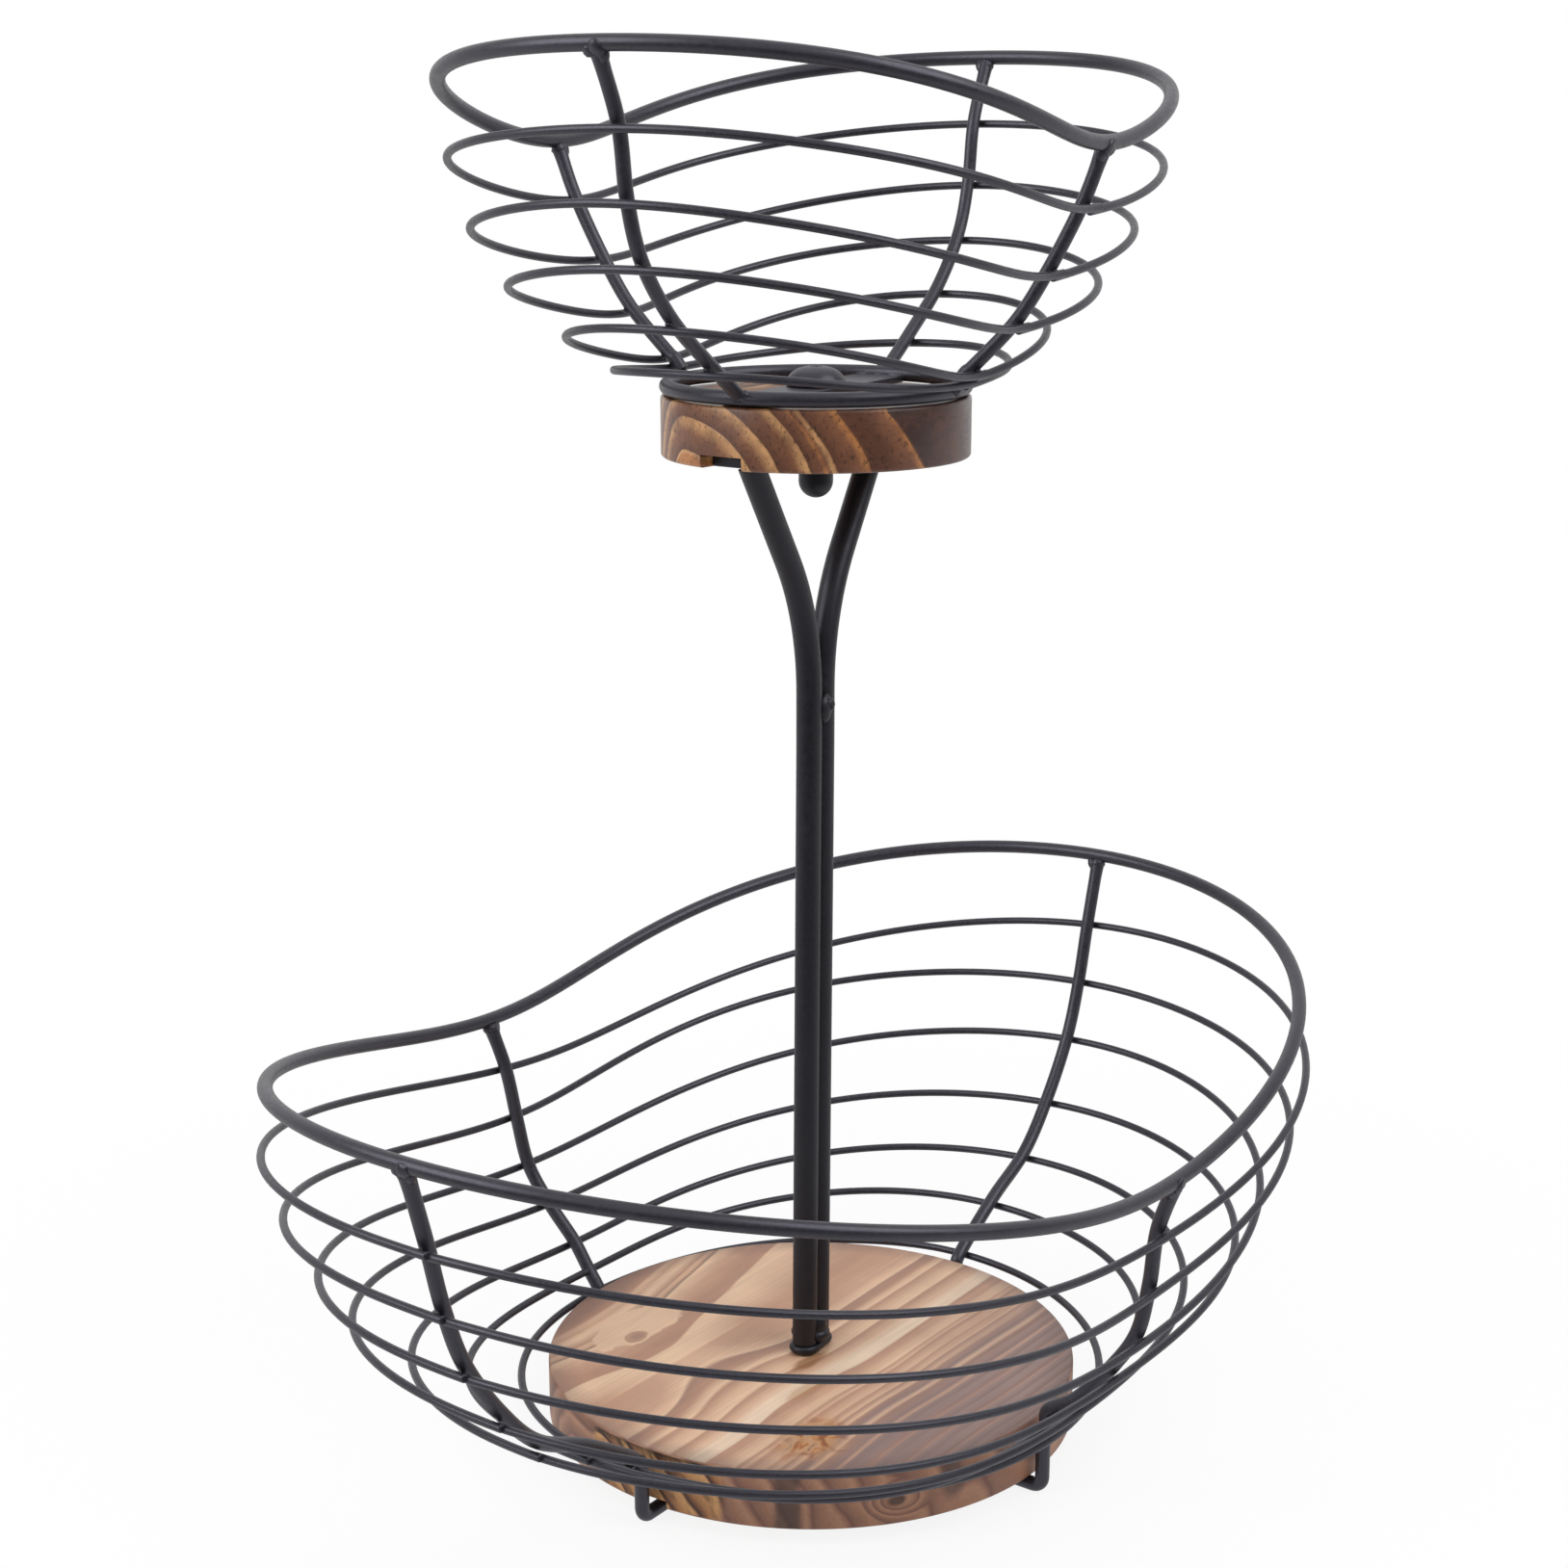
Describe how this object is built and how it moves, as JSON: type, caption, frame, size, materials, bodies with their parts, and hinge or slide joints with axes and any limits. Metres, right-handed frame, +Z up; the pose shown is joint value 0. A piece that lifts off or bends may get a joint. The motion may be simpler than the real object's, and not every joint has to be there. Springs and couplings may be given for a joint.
{
  "type": "two-tier wire fruit bowl",
  "caption": "Two saddle-shaped baskets of black wire loops on wooden discs, one above the other on a forked centre post",
  "frame": {"origin": "on the table, under the middle of the post", "axes": "X along the long side of the baskets, Y across them, Z up"},
  "size_m": [0.3324, 0.2334, 0.382],
  "materials": {
    "black_wire": "satin black powder coat",
    "black_post": "satin black powder coat",
    "black_screw": "black coated steel",
    "tray_wood": "lightly charred pine under matte clear coat",
    "block_wood": "charred pine under gloss varnish"
  },
  "bodies": {
    "root": {"lower_rim": "black_wire", "lower_loop_1": "black_wire", "lower_loop_2": "black_wire", "lower_loop_3": "black_wire", "lower_loop_4": "black_wire", "lower_loop_5": "black_wire", "lower_loop_6": "black_wire", "lower_loop_7": "black_wire", "lower_rib_right": "black_wire", "lower_rib_back": "black_wire", "lower_rib_left": "black_wire", "lower_rib_front": "black_wire", "lower_disc": "tray_wood", "lower_bar": "black_post", "lower_nut": "black_screw", "post_stud": "black_screw", "post_foot": "black_post", "post_rod_left": "black_post", "post_rod_right": "black_post", "post_weld_foot_front": "black_post", "post_weld_foot_back": "black_post", "post_weld_fork_front": "black_post", "post_weld_fork_back": "black_post", "upper_bar": "black_post", "upper_disc": "block_wood", "upper_strap": "black_wire", "upper_bolt": "black_screw", "upper_cap_nut": "black_screw", "upper_base_loop": "black_wire", "upper_loop_1": "black_wire", "upper_loop_2": "black_wire", "upper_loop_3": "black_wire", "upper_loop_4": "black_wire", "upper_loop_5": "black_wire", "upper_rim": "black_wire", "upper_rib_right": "black_wire", "upper_rib_back": "black_wire", "upper_rib_left": "black_wire", "upper_rib_front": "black_wire"}
  },
  "joints": []
}
